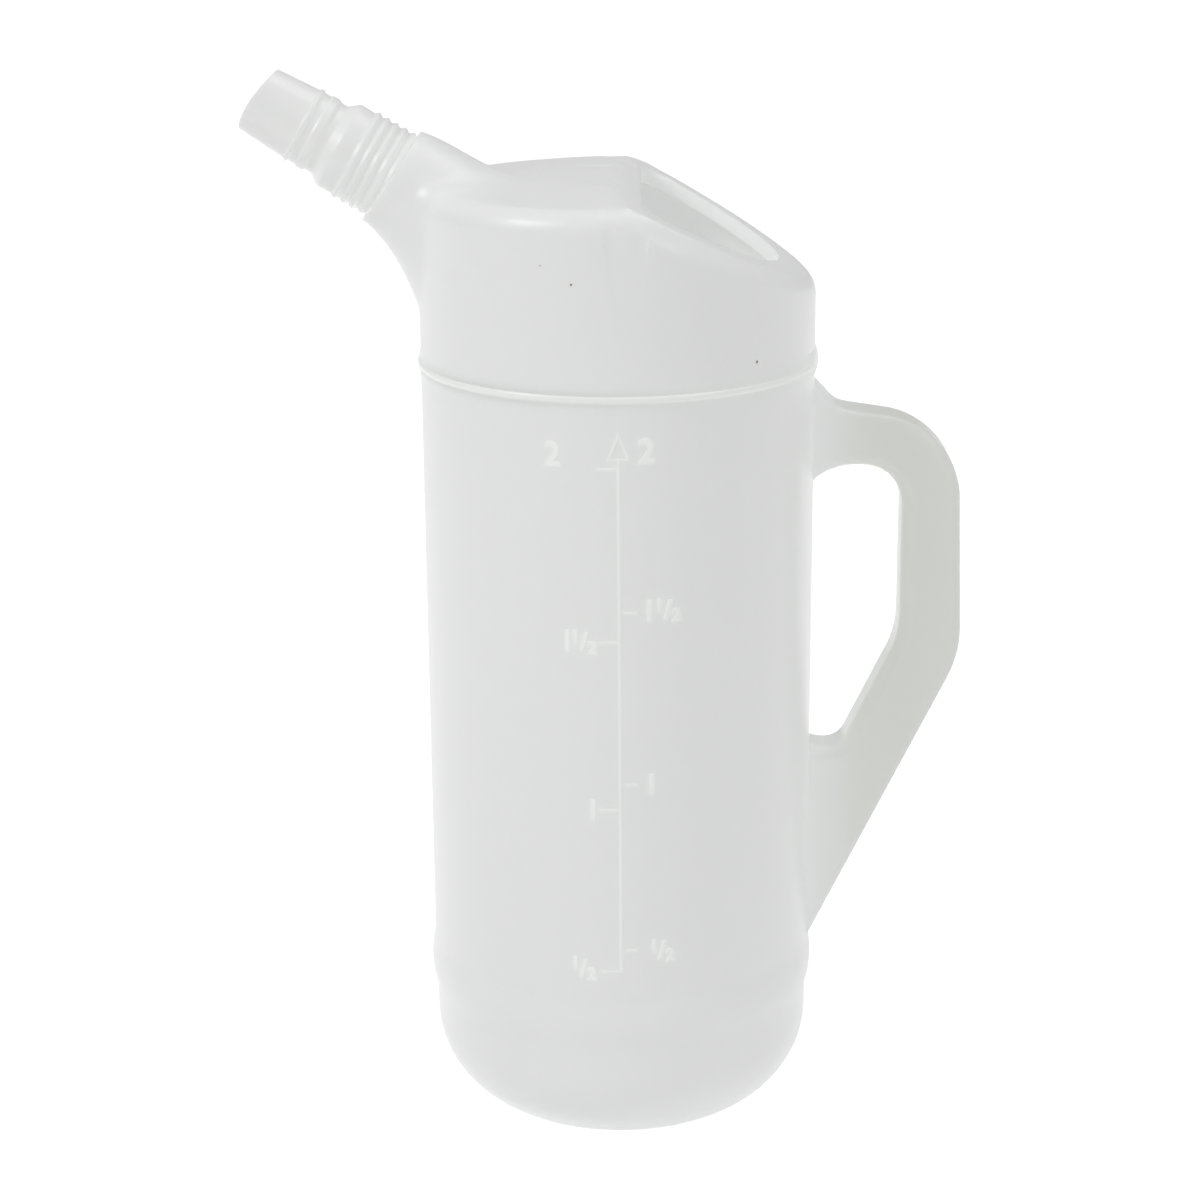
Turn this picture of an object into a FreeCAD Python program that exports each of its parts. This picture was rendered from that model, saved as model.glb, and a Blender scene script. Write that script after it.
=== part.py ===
import FreeCAD, Part
import math
import os

# A blow-moulded polyethylene measure of two litres: a round jug with a side handle, a slanted
# filling opening at the top rear and a flexible corrugated spout pushed into its neck.
# Millimetres. The jug's axis is Z and the table is z = 0. The spout points to -X, the handle
# to +X, and the raised scale faces -Y.

# --- jug wall and barrel ---
wall = 1.5                  # wall thickness of the moulding
body_r = 56.5               # outer radius of the barrel
waist_step = 0.5            # how much narrower the barrel is below its lower bead
corner_r = 28.0             # outer radius where the wall turns into the base
foot_r = 24.0               # inner edge of the flat ring that the jug stands on
push_up = 2.5               # rise of the base inside that ring
bead_proud = 1.0            # how far a stiffening bead stands out
low_bead_z = 44.0           # height of the lower bead
low_bead_half = 8.0         # half of the lower bead's height
high_bead_down = 54.3       # from the roof's flat down to the upper bead
high_bead_half = 4.0        # half of the upper bead's height

# --- roof ---
roof_z = 282.3              # height of the small flat on the roof
roof_fall = 9.0             # degrees the roof falls to each side of that flat
crease_front_y = 6.0        # half width of the flat at its front
crease_rear_y = 24.0        # half width of the flat at the ridge
crease_front_x = -34.0      # where the front half width is measured
ridge_x = 6.5               # where the flat meets the slanted opening plane
ridge_drop = 2.2            # how far the slanted plane passes below the flat there
slant = 31.0                # degrees the opening plane falls to the rear
shoulder_r = 7.5            # rounding between wall and roof

# --- filling opening ---
mouth_gap = 2.5             # from the ridge to the opening, down the slant
mouth_round = 27.0          # length of its round end, down the slant
rim_rear = 4.8              # from the round end to the barrel's wall, down the slant
rim_mid = 17.4              # from the opening to the wall, to the side, where the round end starts
rim_front = 21.8            # from the opening to the wall, to the side, at the ridge
lip_depth = 4.0             # how far the opening's rim turns down into the jug
lip_wall = 1.5              # thickness of that rim

# --- neck ---
neck_wall = 1.3             # wall of the neck round the spout's folds
neck_out = 7.0              # centre of the neck's end, out from the barrel's wall
neck_down = 1.8             # and down from the roof's flat
neck_tilt = 35.2            # degrees the neck points up
neck_grow = 3.0             # radius gained up to the first section behind the end
neck_back = 12.5            # distance back to that section
root_r = 22.0               # radius of the section where the neck enters the barrel
root_in = 10.5              # its centre, in from the wall
root_down = 16.3            # and down from the roof's flat
root_tilt = 34.0
heel_r = 30.5               # radius of the neck's last section, inside the barrel
heel_in = 20.5
heel_down = 25.0
heel_tilt = 38.0
neck_blend = 10.0           # rounding between neck and barrel

# --- spout ---
spout_tilt = 30.6           # degrees the spout points up
spout_wall = 1.5
fit_gap = 0.05              # clearance between the spout's folds and the neck's bore
fold_r = 13.6               # radius of the corrugation's crests
fold_depth = 0.8            # depth of a fold
fold_pitch = 2.8            # distance from crest to crest
folds_out = 4               # crests that show in front of the neck
folds_in = 3                # crests that grip the neck's bore
drum_lead = 1.4             # cone from the last fold to the plain drum
drum_long = 3.0             # drum in front of the folds
drum_step = 0.7             # how much narrower the drum is than the crests
throat_long = 2.8           # cone from the drum to the waist
waist_long = 2.0
waist_step_in = 2.3         # how much narrower the waist is than the drum
collar_lead = 0.8           # cone from the waist to the collar
collar_long = 2.0
collar_proud = 0.6          # how far the collar stands out from the waist
collar_tail = 0.6           # cone from the collar to the nozzle
nozzle_proud = 0.15         # how much wider the nozzle's root is than the waist
ring_lead = 2.0             # from the collar's tail to the small ring
ring_long = 1.6
ring_proud = 0.55
nozzle_long = 13.9          # from the ring to the tip
nozzle_taper = 0.9          # how much narrower the tip is than the nozzle's root
tip_skew = 4.9              # degrees the tip is cut off square
tip_bow = 1.3               # how far the lip's sides stand in front of its top and bottom

# --- handle ---
handle_t = 16.0             # thickness of the handle, side to side
handle_sink = 6.5           # how far the handle's solid starts behind the barrel's wall
gap_clear = 1.0             # how much later the finger gap starts, still inside the barrel
arm_down = 6.9              # from the upper bead down to where the arm's top leaves the wall
arm_step = 6.0              # how far the arm's top then falls, at 45 degrees
arm_fall = 8.0              # degrees it falls from there to the grip
arm_root_r = 12.0           # rounding between the two
grip_reach = 25.5           # from the wall to the grip's inner face
grip_deep = 18.0            # from the grip's inner to its outer face
knuckle_r = 24.0            # outer rounding between arm and grip
brace_lag = 5.6             # how much lower the outside bends to the brace than the gap does
brace_foot_z = 50.9         # height at which the brace's outer face meets the wall
brace_r = 33.0              # outer rounding between grip and brace
gap_down = 24.3             # from where the arm leaves the wall down to the finger gap's top
grip_long = 51.9            # from the gap's top down to its bend
gap_brace = 34.2            # from the bend down to the gap's bottom
gap_foot = 8.7              # from the wall to the gap's lowest corner
gap_root_r = 17.0           # rounding of the gap's top towards the barrel
gap_top_r = 11.5            # rounding of the gap's top towards the grip
gap_bend_r = 28.0
gap_foot_r = 6.5
gap_heel_r = 10.0           # rounding of the gap's bottom towards the barrel
inner_edge_r = 4.0          # rounding of the handle's edges along the gap
outer_edge_r = 2.5          # rounding of its edges along the outside

spare = 10.0                # how far a cutting shape runs past what it cuts
near = 0.01                 # closer than this, a point counts as on a face or an edge

high_bead_z = roof_z - high_bead_down
neck_r = fold_r + fit_gap + neck_wall

V = FreeCAD.Vector


def turned(deg):
    """Direction that points to -X and rises by deg."""
    a = math.radians(deg)
    return V(-math.cos(a), 0, math.sin(a))


def line(p, q):
    return Part.makeLine(p, q)


def arc(p, m, q):
    return Part.Arc(p, m, q).toShape()


def wire(edges):
    return Part.Wire(Part.__sortEdges__(edges))


def rounded(corners):
    """Closed wire in the XZ plane through corners (x, z, radius), each one rounded."""
    n = len(corners)
    cuts = []
    for i, (x, z, r) in enumerate(corners):
        here = V(x, 0, z)
        back = V(corners[i - 1][0], 0, corners[i - 1][1]) - here
        ahead = V(corners[(i + 1) % n][0], 0, corners[(i + 1) % n][1]) - here
        back.normalize()
        ahead.normalize()
        if r == 0:
            cuts.append((here, None, here))
            continue
        half = back.getAngle(ahead)/2
        reach = r/math.tan(half)
        mid = back + ahead
        mid.normalize()
        centre = here + mid*(r/math.sin(half))
        cuts.append((here + back*reach, centre - mid*r, here + ahead*reach))
    edges = []
    for i, (p, m, q) in enumerate(cuts):
        if m is not None:
            edges.append(arc(p, m, q))
        nxt = cuts[(i + 1) % n][0]
        if (nxt - q).Length > 1e-6:
            edges.append(line(q, nxt))
    return wire(edges)


def turn(edges, origin=V(0, 0, 0), axis=V(0, 0, 1)):
    return Part.Face(wire(edges)).revolve(origin, axis, 360)


def above(point, normal, size=400.0, depth=150.0):
    """Block that lies on the plane through point, on the side the normal points to."""
    block = Part.makeBox(size, size, depth, V(-size/2, -size/2, 0))
    block.Placement = FreeCAD.Placement(point, FreeCAD.Rotation(V(0, 0, 1), normal))
    return block


def slab(face_wire, half):
    """Solid between y = -half and y = half with the wire's outline."""
    face = Part.Face(face_wire)
    face.translate(V(0, -half, 0))
    return face.extrude(V(0, 2*half, 0))


def slant_frame():
    """Point on the ridge, direction down the slant and outward normal."""
    a = math.radians(slant)
    return V(ridge_x, 0, roof_z - ridge_drop), V(math.cos(a), 0, -math.sin(a)), V(math.sin(a), 0, math.cos(a))


def barrel(t):
    """Barrel with base and beads, its skin set in by t, taller than the roof."""
    r = body_r - waist_step - t
    R = body_r - t
    rc = corner_r - t
    k = rc*math.sqrt(0.5)
    top = roof_z + spare
    low0 = low_bead_z - low_bead_half
    low1 = low_bead_z + low_bead_half
    high0 = high_bead_z - high_bead_half
    high1 = high_bead_z + high_bead_half
    e = [arc(V(0, 0, push_up + t), V(foot_r/2, 0, 0.75*push_up + t), V(foot_r, 0, t)),
         line(V(foot_r, 0, t), V(r - rc, 0, t)),
         arc(V(r - rc, 0, t), V(r - rc + k, 0, t + rc - k), V(r, 0, t + rc)),
         line(V(r, 0, t + rc), V(r, 0, low0)),
         arc(V(r, 0, low0), V(R + bead_proud, 0, low_bead_z), V(R, 0, low1)),
         line(V(R, 0, low1), V(R, 0, high0)),
         arc(V(R, 0, high0), V(R + bead_proud, 0, high_bead_z), V(R, 0, high1)),
         line(V(R, 0, high1), V(R, 0, top)),
         line(V(R, 0, top), V(0, 0, top)),
         line(V(0, 0, top), V(0, 0, push_up + t))]
    return turn(e)


def roofed(t):
    """Barrel cut by the roof's planes, with the shoulder rounded."""
    s = barrel(t)
    s = s.cut(above(V(0, 0, roof_z - t), V(0, 0, 1)))
    dx = ridge_x - crease_front_x
    dy = crease_rear_y - crease_front_y
    run = math.hypot(dx, dy)
    fall = math.radians(roof_fall)
    for side in (1, -1):
        n = V(-math.sin(fall)*dy/run, side*math.sin(fall)*dx/run, math.cos(fall))
        s = s.cut(above(V(ridge_x, side*crease_rear_y, roof_z) - n*t, n))
    ridge, down, n = slant_frame()
    s = s.cut(above(ridge - n*t, n))
    rim = []
    for e in s.Edges:
        m = e.valueAt((e.FirstParameter + e.LastParameter)/2)
        on_wall = abs(math.hypot(m.x, m.y) - (body_r - t)) < near
        if on_wall and m.z > high_bead_z + high_bead_half and e.Curve.TypeId == "Part::GeomEllipse":
            rim.append(e)
    return s.makeFillet(shoulder_r - t, rim)


def seam(whole, one, other):
    """Edges of the whole that lie on the skins of both pieces it was fused from."""
    found = []
    for e in whole.Edges:
        span = e.LastParameter - e.FirstParameter
        points = [Part.Vertex(e.valueAt(e.FirstParameter + k*span)) for k in (0.2, 0.5, 0.8)]
        if all(p.distToShape(skin)[0] < near for p in points for skin in (one.Shells[0], other.Shells[0])):
            found.append(e)
    return found


def joined(one, other, r):
    """Two solids fused, with their seam rounded to radius r."""
    whole = one.fuse(other).Solids[0]
    return whole.makeFillet(r, seam(whole, one, other)).Solids[0]


def circle(centre, r, deg):
    return Part.Wire(Part.Circle(centre, turned(deg), r).toShape())


def neck(t):
    """Funnel from the neck's round end into the barrel."""
    behind = neck_end() - turned(neck_tilt)*neck_back
    return Part.makeLoft([circle(neck_end(), neck_r - t, neck_tilt),
                          circle(behind, neck_r + neck_grow - t, neck_tilt),
                          circle(V(root_in - body_r, 0, roof_z - root_down), root_r - t, root_tilt),
                          circle(V(heel_in - body_r, 0, roof_z - heel_down), heel_r - t, heel_tilt)], True, False)


def handle(t):
    """Hollow or solid handle, its skin set in by t, with the finger gap cut out."""
    x0 = body_r - handle_sink
    grip_x0 = body_r + grip_reach
    grip_x1 = grip_x0 + grip_deep
    leave_z = high_bead_z - arm_down
    level_x = body_r + arm_step
    arm_z = leave_z - arm_step
    gap_top = leave_z - gap_down
    bend_z = gap_top - grip_long
    gap_low = bend_z - gap_brace
    brace_z = bend_z - brace_lag
    fall = math.tan(math.radians(arm_fall))
    foot_z = brace_foot_z - handle_sink*(brace_z - brace_foot_z)/(grip_x1 - body_r)
    outline = rounded([(x0, leave_z + handle_sink, 0),
                       (level_x, arm_z, arm_root_r),
                       (grip_x1, arm_z - (grip_x1 - level_x)*fall, knuckle_r),
                       (grip_x1, brace_z, brace_r),
                       (x0, foot_z, 0)])
    gap = rounded([(x0 + gap_clear, gap_top, gap_root_r),
                   (grip_x0, gap_top, gap_top_r),
                   (grip_x0, bend_z, gap_bend_r),
                   (body_r + gap_foot, gap_low, gap_foot_r),
                   (x0 + gap_clear, gap_low, gap_heel_r)])
    if t:
        outline = outline.makeOffset2D(-t)
        gap = gap.makeOffset2D(t)
    half = handle_t/2 - t
    s = slab(outline, half).cut(slab(gap, half + spare))
    gap_face = Part.Face(gap)
    at_gap = []
    at_outside = []
    for e in s.Edges:
        if e.BoundBox.YLength > near or e.BoundBox.XMax < x0 + t + near:
            continue
        m = e.valueAt((e.FirstParameter + e.LastParameter)/2)
        beside_gap = Part.Vertex(m.x, 0, m.z).distToShape(gap_face)[0] < near
        (at_gap if beside_gap else at_outside).append(e)
    s = s.makeFillet(inner_edge_r - t, at_gap)
    rest = [e for e in s.Edges if any(same_edge(e, o) for o in at_outside)]
    return s.makeFillet(outer_edge_r - t, rest)


def same_edge(e, o):
    return abs(e.Length - o.Length) < near and e.CenterOfMass.distanceToPoint(o.CenterOfMass) < near


def skin(t):
    """The whole jug as one closed solid, its skin set in by t."""
    head = joined(roofed(t), neck(t), neck_blend)
    return head.fuse(handle(t)).Solids[0]


def wall_half(x):
    """Half width of the barrel at x."""
    return math.sqrt(body_r**2 - x**2)


def opening(grow, up, down):
    """Prism square to the slanted plane with the filling opening's outline, grown by a margin."""
    level = math.cos(math.radians(slant))
    u1 = (body_r - ridge_x)/level - rim_rear - mouth_round
    u2 = u1 + mouth_round + grow
    front = wall_half(ridge_x + mouth_gap*level) - rim_front + grow
    mid = wall_half(ridge_x + u1*level) - rim_mid + grow
    u0 = mouth_gap - grow
    edges = [line(V(u0, -front, 0), V(u0, front, 0)),
             line(V(u0, front, 0), V(u1, mid, 0)),
             arc(V(u1, mid, 0), V(u2, 0, 0), V(u1, -mid, 0)),
             line(V(u1, -mid, 0), V(u0, -front, 0))]
    s = Part.Face(wire(edges))
    s.translate(V(0, 0, -down))
    s = s.extrude(V(0, 0, up + down))
    ridge = slant_frame()[0]
    s.Placement = FreeCAD.Placement(ridge, FreeCAD.Rotation(V(0, 1, 0), slant)).multiply(s.Placement)
    return s


def neck_end():
    return V(-body_r - neck_out, 0, roof_z - neck_down)


def jug():
    """One hollow moulding: barrel, roof with its opening, neck and handle."""
    s = skin(0).cut(skin(wall))
    through = opening(-lip_wall, spare, lip_depth + spare)
    s = s.fuse(opening(0, 0, lip_depth).cut(through)).cut(through)
    a = turned(spout_tilt)
    depth = (folds_in + 1)*fold_pitch
    bore = Part.makeCylinder(fold_r + fit_gap, depth + spare, neck_end() - a*depth, a)
    return s.cut(bore).Solids[0]


def spout():
    """Flexible corrugated spout, turned about its own axis, with a slightly bowed tip."""
    w = spout_wall
    root_r = fold_r - fold_depth
    drum_r = fold_r - drum_step
    waist_r = drum_r - waist_step_in
    nozzle_r = waist_r + nozzle_proud
    tip_r = nozzle_r - nozzle_taper
    back = -(folds_in + 0.5)*fold_pitch
    folds_end = (folds_out + 0.5)*fold_pitch
    drum_end = folds_end + drum_lead + drum_long
    waist_end = drum_end + throat_long + waist_long
    ring_end = waist_end + collar_lead + collar_long + collar_tail + ring_lead + ring_long
    tip_end = ring_end + nozzle_long
    taper_out = nozzle_taper*spare/nozzle_long

    outer = [(back, root_r)]
    for i in range(-folds_in, folds_out + 1):
        outer.append((i*fold_pitch, fold_r))
        outer.append(((i + 0.5)*fold_pitch, root_r))
    at = folds_end
    for long, r in ((drum_lead, drum_r), (drum_long, drum_r), (throat_long, waist_r), (waist_long, waist_r),
                    (collar_lead, waist_r + collar_proud), (collar_long, waist_r + collar_proud),
                    (collar_tail, nozzle_r), (ring_lead, nozzle_r), (ring_long/4, nozzle_r + ring_proud),
                    (ring_long/2, nozzle_r + ring_proud), (ring_long/4, nozzle_r),
                    (nozzle_long + spare, tip_r - taper_out)):
        at += long
        outer.append((at, r))
    inner = [(tip_end + spare, tip_r - taper_out - w), (ring_end, nozzle_r - w), (waist_end, waist_r - w),
             (waist_end - waist_long, waist_r - w), (drum_end, drum_r - w), (folds_end, root_r - w),
             (back, root_r - w)]
    points = [V(r, 0, at) for at, r in outer + inner]
    edges = [line(p, q) for p, q in zip(points, points[1:] + points[:1])]
    s = turn(edges)
    s.Placement = FreeCAD.Placement(neck_end(), FreeCAD.Rotation(V(0, 0, 1), turned(spout_tilt)))
    bow_r = (tip_r**2 + tip_bow**2)/(2*tip_bow)
    tip = neck_end() + turned(spout_tilt)*tip_end
    centre = tip - turned(spout_tilt + tip_skew)*(bow_r - tip_bow)
    end = Part.makeCylinder(bow_r, 4*fold_r, centre - V(0, 2*fold_r, 0), V(0, 1, 0))
    return s.common(end).Solids[0]


def centred(shapes):
    """The pieces moved along X, so that the origin lies under the middle of the whole."""
    box = Part.makeCompound(shapes).optimalBoundingBox(False, False)
    for s in shapes:
        s.translate(V(-(box.XMin + box.XMax)/2, 0, 0))
    return shapes


os.makedirs("parts", exist_ok=True)
for name, shape in zip(("jug", "spout"), centred([jug(), spout()])):
    shape.exportStep("parts/" + name + ".step")
    box = shape.optimalBoundingBox(False, False)
    print(name, "valid", shape.isValid(), "solids", len(shape.Solids), "cm3", round(shape.Volume/1000, 1),
          "box", [round(v, 2) for v in (box.XMin, box.YMin, box.ZMin, box.XMax, box.YMax, box.ZMax)])
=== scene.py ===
# %% [markdown]
# # A two-litre pouring measure in natural polyethylene
# The real object is one hollow, blow-moulded jug with a turned, flexible spout pushed into its
# neck. Both are the milky white of polyethylene with no pigment in it: light goes into the wall,
# scatters and comes out again on both sides, so the jug glows softly and has few dark places.
# The solid model has the right sizes and nearly the right shapes. This lesson loads it, reshapes a
# few places of the jug by some millimetres, makes the spout again with rounder folds, and adds what
# is too fine for the solids: the raised scale, the upper bead's narrow crest and a few burnt grains.

# %% Load the solid model
import math

import bmesh
import bpy
from mathutils import Matrix, Vector


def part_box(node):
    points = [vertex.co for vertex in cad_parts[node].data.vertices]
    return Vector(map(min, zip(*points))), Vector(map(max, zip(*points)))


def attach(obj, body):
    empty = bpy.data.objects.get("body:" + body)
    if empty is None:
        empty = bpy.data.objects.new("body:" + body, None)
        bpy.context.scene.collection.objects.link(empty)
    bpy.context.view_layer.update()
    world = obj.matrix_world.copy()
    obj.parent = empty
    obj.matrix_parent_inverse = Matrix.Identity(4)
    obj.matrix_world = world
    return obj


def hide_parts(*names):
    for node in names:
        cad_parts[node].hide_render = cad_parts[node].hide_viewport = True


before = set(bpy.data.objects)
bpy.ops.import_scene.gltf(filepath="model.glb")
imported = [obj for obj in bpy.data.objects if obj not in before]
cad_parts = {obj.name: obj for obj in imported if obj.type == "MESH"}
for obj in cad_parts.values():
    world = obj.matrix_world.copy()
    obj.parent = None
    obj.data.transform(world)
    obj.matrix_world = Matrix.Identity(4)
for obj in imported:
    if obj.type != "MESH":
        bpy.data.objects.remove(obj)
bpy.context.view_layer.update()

# %% [markdown]
# ## Sizes
# Everything is in metres in the solid model's frame: Z is up, the spout points to -X, the handle
# to +X and the scale faces -Y. The barrel's own axis isn't quite at x = 0, because the frame's
# origin is under the middle of the whole, spout and handle included. MM keeps the sizes readable.

# %% The sizes that the added pieces share
MM = 0.001
AXIS_X = 2.98*MM                     # the barrel's axis
BARREL_R = 56.5*MM                   # outer radius of the barrel
NECK_END = Vector((AXIS_X - 63.5*MM, 0, 280.5*MM))
SPOUT_TILT = math.radians(30.6)      # how far the spout points up
jug_low, jug_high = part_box("jug")
spout_low, spout_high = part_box("spout")
print("jug height", round((jug_high.z - jug_low.z)/MM, 1),
      "mm, spout from", round(spout_low.z/MM, 1), "to", round(spout_high.z/MM, 1), "mm up")

# %% [markdown]
# ## What the finishes share
# Three small effects turn a flat white into moulded polyethylene. Each is a node group that puts
# out one value, so that every finish can use it with its own settings:
# - cloudiness: the wall is never equally thick, so its colour drifts a little over centimetres
# - moulded skin: the faint orange peel that the mould leaves, as a height for a Bump node
# - thick places: where the walls lie close together, as in the handle, the plastic looks a little
#   warmer and darker

# %% A helper for node groups
def new_group(name, inputs, outputs):
    """Shader node group with float inputs (name, default) and outputs (name, socket type)."""
    group = bpy.data.node_groups.new(name, "ShaderNodeTree")
    for label, default in inputs:
        socket = group.interface.new_socket(label, in_out="INPUT", socket_type="NodeSocketFloat")
        socket.default_value = default
    for label, kind in outputs:
        group.interface.new_socket(label, in_out="OUTPUT", socket_type=kind)
    return group, group.nodes.new("NodeGroupInput"), group.nodes.new("NodeGroupOutput")


def math_node(tree, operation, a, b=None, clamp=False):
    """Math node whose inputs are sockets or plain numbers; returns its output socket."""
    node = tree.nodes.new("ShaderNodeMath")
    node.operation = operation
    node.use_clamp = clamp
    for socket, value in zip(node.inputs, (a, b)):
        if value is None:
            continue
        if isinstance(value, (int, float)):
            socket.default_value = value
        else:
            tree.links.new(value, socket)
    return node.outputs[0]


def object_coordinates(tree):
    return tree.nodes.new("ShaderNodeTexCoord").outputs["Object"]


# %% Cloudiness of the wall
def make_cloud_group():
    """Slow drift between 0 and 1 over the wall, with a finer mottle on top."""
    group, given, result = new_group(
        "wall_cloud", [("Size mm", 45.0), ("Mottle mm", 6.0), ("Mottle share", 0.3)],
        [("Value", "NodeSocketFloat")])
    links = group.links
    place = object_coordinates(group)
    parts = []
    for label in ("Size mm", "Mottle mm"):
        noise = group.nodes.new("ShaderNodeTexNoise")
        noise.inputs["Detail"].default_value = 2.0
        noise.inputs["Roughness"].default_value = 0.5
        links.new(place, noise.inputs["Vector"])
        links.new(math_node(group, "DIVIDE", 1/MM, given.outputs[label]), noise.inputs["Scale"])
        parts.append(noise.outputs["Fac"])
    share = given.outputs["Mottle share"]
    slow = math_node(group, "MULTIPLY", parts[0], math_node(group, "SUBTRACT", 1.0, share))
    fine = math_node(group, "MULTIPLY", parts[1], share)
    links.new(math_node(group, "ADD", slow, fine, clamp=True), result.inputs["Value"])
    return group


cloud_group = make_cloud_group()
print("group", cloud_group.name, "with", len(cloud_group.nodes), "nodes")


# %% The skin that the mould leaves
def make_skin_group():
    """Height in metres of a fine orange peel."""
    group, given, result = new_group("moulded_skin", [("Grain mm", 1.4), ("Height mm", 0.01)],
                                     [("Height", "NodeSocketFloat")])
    links = group.links
    noise = group.nodes.new("ShaderNodeTexNoise")
    noise.inputs["Detail"].default_value = 3.0
    links.new(object_coordinates(group), noise.inputs["Vector"])
    links.new(math_node(group, "DIVIDE", 1/MM, given.outputs["Grain mm"]), noise.inputs["Scale"])
    height = math_node(group, "MULTIPLY", given.outputs["Height mm"], MM)
    links.new(math_node(group, "MULTIPLY", noise.outputs["Fac"], height), result.inputs["Height"])
    return group


skin_group = make_skin_group()
print("group", skin_group.name, "with", len(skin_group.nodes), "nodes")


# %% Where the plastic is thick
def make_thick_group():
    """Value that rises from 0 to 1 over a stretch of the object along X."""
    group, given, result = new_group("thick_place", [("From mm", 62.0), ("To mm", 74.0)],
                                     [("Value", "NodeSocketFloat")])
    links = group.links
    split = group.nodes.new("ShaderNodeSeparateXYZ")
    links.new(object_coordinates(group), split.inputs[0])
    x = math_node(group, "DIVIDE", split.outputs["X"], MM)
    span = math_node(group, "SUBTRACT", given.outputs["To mm"], given.outputs["From mm"])
    past = math_node(group, "SUBTRACT", x, given.outputs["From mm"])
    links.new(math_node(group, "DIVIDE", past, span, clamp=True), result.inputs["Value"])
    return group


thick_group = make_thick_group()
print("group", thick_group.name, "with", len(thick_group.nodes), "nodes")

# %% [markdown]
# ## The finishes
# A Principled BSDF with full subsurface scattering does what the plastic does: a ray goes into
# the wall, wanders a few millimetres and leaves again, on the near side or the far one. The mean
# free path is longer than the wall is thick, so light from inside the jug comes through as well.
# Light that wanders on from wall to wall is too slow to follow, so a weak glow of the plastic's own
# colour stands for it: painted light. The raised scale is too thin to scatter in and has the glow
# alone. Its paler colour and stronger glow, stronger still on the numerals, are painted light that
# makes it show lighter than the wall, where the real raised lines catch light. The clouds feed Base
# Color, and the skin feeds a Bump node. What is the same all over is set on the shader's own
# sockets.

# %% A natural polyethylene finish
THICK_COLOUR = (0.70, 0.72, 0.62)
SKIN_STRENGTH = 0.5
FREE_PATH = (1.0, 1.05, 0.95)                   # for red, green and blue, before it is scaled


def polyethylene(name, pale, deep, roughness, thick_share=0.0, depth=3.0, glow=0.125):
    """Milky plastic whose clouds drift between pale and deep.

    depth is the free path in mm, 0 for none, and glow the strength of the light given off.
    """
    material = bpy.data.materials.new(name)
    material.use_nodes = True
    tree = material.node_tree
    shader = tree.nodes["Principled BSDF"]

    def use(group):
        node = tree.nodes.new("ShaderNodeGroup")
        node.node_tree = group
        return node.outputs[0]

    def mix(factor, a, b):
        node = tree.nodes.new("ShaderNodeMix")
        node.data_type = "RGBA"
        tree.links.new(factor, node.inputs["Factor"])
        for socket, value in ((node.inputs[6], a), (node.inputs[7], b)):
            if isinstance(value, tuple):
                socket.default_value = (*value, 1)
            else:
                tree.links.new(value, socket)
        return node.outputs[2]

    colour = mix(use(cloud_group), deep, pale)
    thick = math_node(tree, "MULTIPLY", use(thick_group), thick_share)
    colour = mix(thick, colour, THICK_COLOUR)
    tree.links.new(colour, shader.inputs["Base Color"])
    tree.links.new(colour, shader.inputs["Emission Color"])
    shader.inputs["Emission Strength"].default_value = glow

    bump = tree.nodes.new("ShaderNodeBump")
    bump.inputs["Strength"].default_value = SKIN_STRENGTH
    bump.inputs["Distance"].default_value = 1.0
    tree.links.new(use(skin_group), bump.inputs["Height"])
    tree.links.new(bump.outputs[0], shader.inputs["Normal"])

    shader.inputs["Roughness"].default_value = roughness
    shader.inputs["IOR"].default_value = 1.5
    shader.inputs["Subsurface Weight"].default_value = 1.0 if depth else 0.0
    shader.inputs["Subsurface Radius"].default_value = FREE_PATH
    shader.inputs["Subsurface Scale"].default_value = depth*MM
    return material


# Paler than the wall and glowing more strongly: painted light that makes the raised scale show lighter
PAINTED_LIGHT_MARK_PALE, PAINTED_LIGHT_MARK_DEEP = (0.97, 0.98, 0.97), (0.95, 0.97, 0.95)
jug_finish = polyethylene("natural_polyethylene_wall", (0.93, 0.945, 0.938), (0.905, 0.92, 0.905),
                          0.34, thick_share=0.35)
spout_finish = polyethylene("natural_polyethylene_spout", (0.94, 0.955, 0.94), (0.92, 0.94, 0.915),
                            0.28)
painted_light_mark_finish = polyethylene("natural_polyethylene_scale", PAINTED_LIGHT_MARK_PALE, PAINTED_LIGHT_MARK_DEEP,
                           0.30, depth=0, glow=0.16)
# The numerals glow more strongly still: painted light on their flat tops
painted_light_numeral_finish = polyethylene("natural_polyethylene_numerals", PAINTED_LIGHT_MARK_PALE, PAINTED_LIGHT_MARK_DEEP,
                              0.30, depth=0, glow=0.185)
print("finishes:", [f.name for f in (jug_finish, spout_finish, painted_light_mark_finish, painted_light_numeral_finish)])

# %% [markdown]
# ## The jug
# The jug's solid has nearly the true form, wall and all. A copy of its mesh is reshaped where the
# real one differs by a few millimetres. Each change is a small move of the points that is the same
# for the outer and the inner skin, so the wall keeps its thickness:
# - the roof lies a little lower and flatter, and the slanted plane starts nearer the middle
# - the filling opening follows the barrel's round wall, with a straight front and round corners
# - the handle's knuckle is rounder
# - the upper bead is lower, and a narrow crest is added to it later
#
# These cells work in millimetres, with the barrel's own axis at x = 0 and y = 0. The solid's mesh
# has long thin triangles, so its edges are first cut short wherever they will be bent.

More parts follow.
